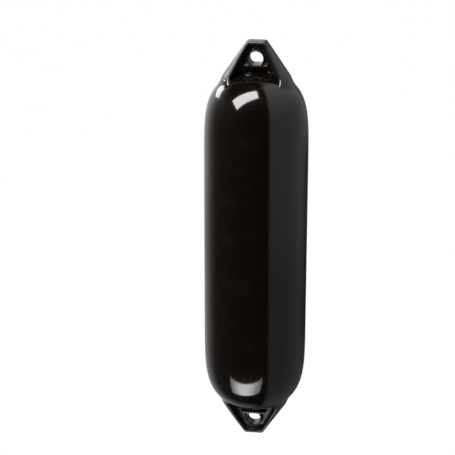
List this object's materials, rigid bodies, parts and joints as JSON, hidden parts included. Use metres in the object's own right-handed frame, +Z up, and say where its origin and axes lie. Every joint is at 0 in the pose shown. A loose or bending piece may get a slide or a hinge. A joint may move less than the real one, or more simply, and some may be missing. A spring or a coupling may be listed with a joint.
{
  "type": "pneumatic boat fender",
  "caption": "Inflatable cylindrical boat fender with full domed ends, a flanged rope eye moulded on each end and a slotted air valve beside the upper eye.",
  "frame": {"origin": "centre of the upper rope eye's hole, on the fender's long axis", "axes": "+Z up along the fender's long axis through both rope holes, +X across the width of the rope eyes, +Y along the rope holes, with the valve on the -Y side"},
  "size_m": [0.152, 0.152, 0.61],
  "materials": {
    "body_vinyl": "glossy",
    "eye_vinyl": "semi-gloss",
    "valve_plastic": "satin"
  },
  "bodies": {
    "root": {"body": "body_vinyl", "top_rope_eye": "eye_vinyl", "bottom_rope_eye": "eye_vinyl", "valve_bush": "valve_plastic", "valve_plug": "valve_plastic"}
  },
  "joints": []
}
